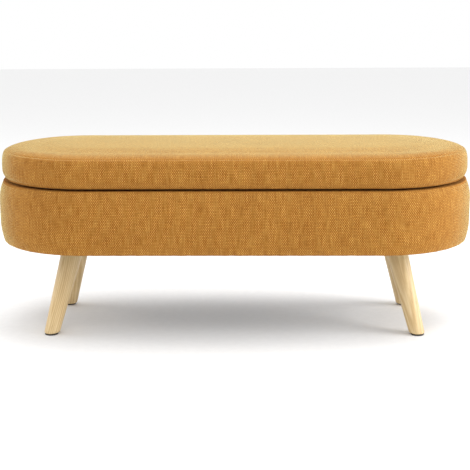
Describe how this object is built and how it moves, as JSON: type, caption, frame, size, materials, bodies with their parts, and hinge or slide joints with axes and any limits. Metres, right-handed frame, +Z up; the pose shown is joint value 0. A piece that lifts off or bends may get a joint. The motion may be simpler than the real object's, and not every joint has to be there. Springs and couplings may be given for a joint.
{
  "type": "storage ottoman bench",
  "caption": "Pill-shaped padded storage bench in ochre woven fabric, with a hinged padded lid on damped stays and splayed round wooden legs.",
  "frame": {"origin": "on the floor, under the middle of the object's box", "axes": "+X along the length to the object's right as seen from the front, -Y towards the front, +Z up"},
  "size_m": [1.12, 0.448, 0.436],
  "materials": {
    "cover_fabric": "matte",
    "lining_fabric": "matte",
    "dust_cloth": "matte",
    "padding_foam": "matte",
    "frame_plywood": "matte",
    "leg_wood": "satin",
    "hardware_steel": "satin",
    "bolt_steel": "satin",
    "glide_plastic": "matte"
  },
  "bodies": {
    "base": {"bottom_panel": "frame_plywood", "floor_board": "frame_plywood", "front_wall": "frame_plywood", "back_wall": "frame_plywood", "left_end_wall": "frame_plywood", "right_end_wall": "frame_plywood", "front_rim": "frame_plywood", "back_rim": "frame_plywood", "left_end_rim": "frame_plywood", "right_end_rim": "frame_plywood", "front_left_leg_block": "frame_plywood", "front_left_leg": "leg_wood", "front_left_leg_bolt": "bolt_steel", "front_left_t_nut": "bolt_steel", "front_left_foot_glide": "glide_plastic", "front_right_leg_block": "frame_plywood", "front_right_leg": "leg_wood", "front_right_leg_bolt": "bolt_steel", "front_right_t_nut": "bolt_steel", "front_right_foot_glide": "glide_plastic", "rear_left_leg_block": "frame_plywood", "rear_left_leg": "leg_wood", "rear_left_leg_bolt": "bolt_steel", "rear_left_t_nut": "bolt_steel", "rear_left_foot_glide": "glide_plastic", "rear_right_leg_block": "frame_plywood", "rear_right_leg": "leg_wood", "rear_right_leg_bolt": "bolt_steel", "rear_right_t_nut": "bolt_steel", "rear_right_foot_glide": "glide_plastic", "front_foam": "padding_foam", "back_foam": "padding_foam", "left_end_foam": "padding_foam", "right_end_foam": "padding_foam", "body_cover": "cover_fabric", "side_lining": "lining_fabric", "floor_lining": "lining_fabric", "dust_cover": "dust_cloth", "left_hinge_body_leaf": "hardware_steel", "left_hinge_pin": "hardware_steel", "left_stay_hub": "hardware_steel", "right_hinge_body_leaf": "hardware_steel", "right_hinge_pin": "hardware_steel", "right_stay_hub": "hardware_steel"},
    "lid": {"lid_board": "frame_plywood", "lid_foam": "padding_foam", "lid_cover": "cover_fabric", "lid_lining": "dust_cloth", "left_hinge_lid_leaf": "hardware_steel", "left_stay_lid_bracket": "hardware_steel", "left_stay_lid_rivet": "hardware_steel", "right_hinge_lid_leaf": "hardware_steel", "right_stay_lid_bracket": "hardware_steel", "right_stay_lid_rivet": "hardware_steel"},
    "left_stay_arm": {"left_stay_main_arm": "hardware_steel", "left_stay_elbow_rivet": "hardware_steel"},
    "left_stay_link": {"left_stay_link": "hardware_steel"},
    "right_stay_arm": {"right_stay_main_arm": "hardware_steel", "right_stay_elbow_rivet": "hardware_steel"},
    "right_stay_link": {"right_stay_link": "hardware_steel"}
  },
  "joints": [
    {"name": "lid_hinge", "type": "hinge", "parent": "base", "child": "lid", "pos_m": [0, 0.2185, 0.3555], "axis": [-1, 0, 0], "range_deg": [0, 90]},
    {"name": "left_stay_arm_pivot", "type": "hinge", "parent": "base", "child": "left_stay_arm", "pos_m": [-0.276, 0.1695, 0.2945], "axis": [-1, 0, 0], "range_deg": [0, 90]},
    {"name": "left_stay_elbow", "type": "hinge", "parent": "left_stay_arm", "child": "left_stay_link", "pos_m": [-0.276, 0.0395, 0.282], "axis": [1, 0, 0], "range_deg": [0, 90]},
    {"name": "right_stay_arm_pivot", "type": "hinge", "parent": "base", "child": "right_stay_arm", "pos_m": [0.276, 0.1695, 0.2945], "axis": [-1, 0, 0], "range_deg": [0, 90]},
    {"name": "right_stay_elbow", "type": "hinge", "parent": "right_stay_arm", "child": "right_stay_link", "pos_m": [0.276, 0.0395, 0.282], "axis": [1, 0, 0], "range_deg": [0, 90]}
  ],
  "couplings": [
    {"joint": "left_stay_arm_pivot", "follows": "lid_hinge", "ratio": 1},
    {"joint": "left_stay_elbow", "follows": "lid_hinge", "ratio": 1},
    {"joint": "right_stay_arm_pivot", "follows": "lid_hinge", "ratio": 1},
    {"joint": "right_stay_elbow", "follows": "lid_hinge", "ratio": 1}
  ]
}
